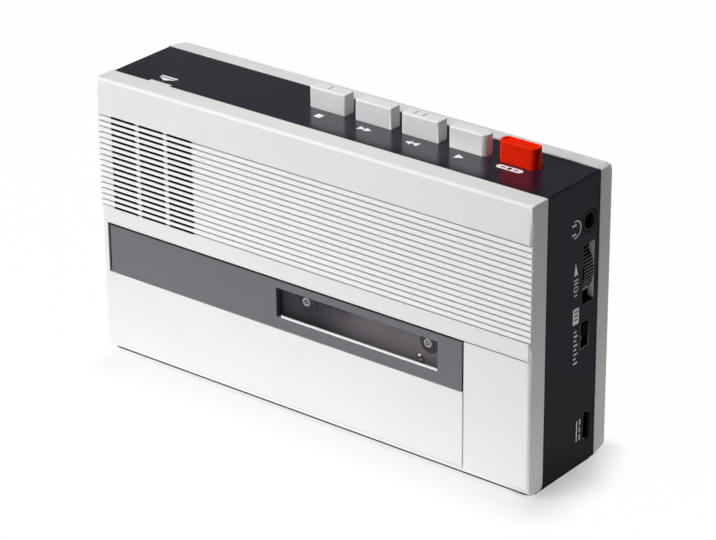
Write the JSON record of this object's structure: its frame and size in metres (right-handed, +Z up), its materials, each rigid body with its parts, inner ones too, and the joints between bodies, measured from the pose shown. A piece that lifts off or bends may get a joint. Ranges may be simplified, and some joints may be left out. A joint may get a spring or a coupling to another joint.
{
  "type": "portable cassette player",
  "caption": "Portable cassette player with a tilting windowed front lid, top keys, side volume wheel, slide switch and headphone jack, and a belt-driven deck.",
  "frame": {"origin": "middle of the case's base, halfway across its width and depth", "axes": "+X to the right seen from the front, +Y to the back, +Z up"},
  "size_m": [0.1527, 0.038, 0.0918],
  "materials": {
    "white_shell": "fine satin",
    "charcoal_shell": "fine satin",
    "panel_grey": "satin",
    "smoked_lens": "polished",
    "key_grey": "fine satin",
    "record_red": "fine satin",
    "black_plastic": "satin",
    "spindle_plastic": "satin",
    "steel": "plain",
    "head_metal": "polished",
    "cast_weight": "turned",
    "motor_case": "plated",
    "brass": "plain",
    "rubber": "matt",
    "cloth": "woven",
    "board": "solder mask",
    "pot_case": "satin",
    "cell_wrap": "gloss"
  },
  "bodies": {
    "housing": {"mid_frame": "charcoal_shell", "rear_cover": "white_shell", "case_screws": "steel", "deck_cover": "black_plastic", "deck_plate": "steel", "deck_screws": "steel", "deck_pins": "steel", "shaft_bushes": "brass", "flywheel_bracket": "steel", "motor_can": "motor_case", "motor_bracket": "steel", "drive_belt": "rubber", "reel_belt": "rubber", "key_guide": "black_plastic", "speaker_frame": "steel", "speaker_cone": "cloth", "speaker_magnet": "cast_weight", "microphone": "steel", "main_board": "board", "headphone_jack": "black_plastic", "volume_pot": "pot_case", "switch_body": "black_plastic", "usb_socket": "steel", "battery_tray": "black_plastic", "battery_cells": "cell_wrap", "battery_contacts": "steel", "stop_spring": "steel", "forward_spring": "steel", "rewind_spring": "steel", "play_spring": "steel", "record_spring": "steel"},
    "lid": {"front_lid": "white_shell", "window_panel": "panel_grey", "window_lens": "smoked_lens", "grille_cloth": "cloth", "hinge_pins": "steel", "cassette_carrier": "black_plastic", "cassette_spring": "steel"},
    "stop_key": {"stop_key": "key_grey"},
    "forward_key": {"forward_key": "key_grey"},
    "rewind_key": {"rewind_key": "key_grey"},
    "play_key": {"play_key": "key_grey"},
    "record_key": {"record_key": "record_red"},
    "head_carriage": {"head_plate": "steel", "tape_head": "head_metal", "erase_head": "head_metal"},
    "pinch_lever": {"pinch_arm": "steel"},
    "pinch_roller": {"pinch_roller": "rubber"},
    "takeup_reel": {"takeup_shaft": "steel", "takeup_spindle": "spindle_plastic", "takeup_pulley": "black_plastic"},
    "supply_reel": {"supply_shaft": "steel", "supply_spindle": "spindle_plastic"},
    "capstan": {"capstan_shaft": "steel", "flywheel": "cast_weight"},
    "motor_rotor": {"motor_shaft": "steel", "motor_pulley": "brass"},
    "volume_wheel": {"volume_wheel": "black_plastic"},
    "switch_knob": {"switch_knob": "black_plastic"},
    "battery_door": {"battery_door": "white_shell"}
  },
  "joints": [
    {"name": "lid_tilt", "type": "hinge", "parent": "housing", "child": "lid", "pos_m": [0, -0.0158, 0.0026], "axis": [1, 0, 0], "range_deg": [0, 30]},
    {"name": "stop_press", "type": "slide", "parent": "housing", "child": "stop_key", "axis": [0, 0, -1], "range_m": [0, 0.004], "stiffness_N_per_m": 400, "springref_m": -0.001, "deforming": ["stop_spring"]},
    {"name": "forward_press", "type": "slide", "parent": "housing", "child": "forward_key", "axis": [0, 0, -1], "range_m": [0, 0.004], "stiffness_N_per_m": 400, "springref_m": -0.001, "deforming": ["forward_spring"]},
    {"name": "rewind_press", "type": "slide", "parent": "housing", "child": "rewind_key", "axis": [0, 0, -1], "range_m": [0, 0.004], "stiffness_N_per_m": 400, "springref_m": -0.001, "deforming": ["rewind_spring"]},
    {"name": "play_press", "type": "slide", "parent": "housing", "child": "play_key", "axis": [0, 0, -1], "range_m": [0, 0.004], "stiffness_N_per_m": 400, "springref_m": -0.001, "deforming": ["play_spring"]},
    {"name": "record_press", "type": "slide", "parent": "housing", "child": "record_key", "axis": [0, 0, -1], "range_m": [0, 0.004], "stiffness_N_per_m": 400, "springref_m": -0.001, "deforming": ["record_spring"]},
    {"name": "head_slide", "type": "slide", "parent": "housing", "child": "head_carriage", "axis": [0, 0, -1], "range_m": [0, 0.0035], "stiffness_N_per_m": 5, "springref_m": -0.038},
    {"name": "pinch_swing", "type": "hinge", "parent": "housing", "child": "pinch_lever", "pos_m": [-0.024, 0, 0.0714], "axis": [0, 1, 0], "range_deg": [0, 21], "stiffness_Nm_per_rad": 0.0001, "springref_deg": -91.67},
    {"name": "pinch_roll", "type": "hinge", "parent": "pinch_lever", "child": "pinch_roller", "pos_m": [-0.01, 0, 0.074], "axis": [0, 1, 0], "continuous": true},
    {"name": "capstan_spin", "type": "hinge", "parent": "housing", "child": "capstan", "pos_m": [-0.01, 0, 0.0624], "axis": [0, 1, 0], "continuous": true},
    {"name": "motor_spin", "type": "hinge", "parent": "housing", "child": "motor_rotor", "pos_m": [-0.044, 0, 0.0624], "axis": [0, 1, 0], "continuous": true},
    {"name": "takeup_spin", "type": "hinge", "parent": "housing", "child": "takeup_reel", "pos_m": [-0.00405, 0, 0.0337], "axis": [0, 1, 0], "continuous": true},
    {"name": "supply_spin", "type": "hinge", "parent": "housing", "child": "supply_reel", "pos_m": [0.03845, 0, 0.0337], "axis": [0, 1, 0], "continuous": true},
    {"name": "volume_turn", "type": "hinge", "parent": "housing", "child": "volume_wheel", "pos_m": [0.06575, 0, 0.05755], "axis": [0, 1, 0], "range_deg": [-140, 140]},
    {"name": "switch_slide", "type": "slide", "parent": "housing", "child": "switch_knob", "axis": [0, 0, -1], "range_m": [0, 0.0034]},
    {"name": "door_swing", "type": "hinge", "parent": "housing", "child": "battery_door", "pos_m": [0, 0.018, 0.0054], "axis": [-1, 0, 0], "range_deg": [0, 45]}
  ],
  "couplings": [
    {"joint": "head_slide", "follows": "play_press", "ratio": 0.875},
    {"joint": "pinch_swing", "follows": "play_press", "rad_per_m": 91.6},
    {"joint": "motor_spin", "follows": "capstan_spin", "ratio": 5},
    {"joint": "takeup_spin", "follows": "capstan_spin", "ratio": 0.5}
  ]
}
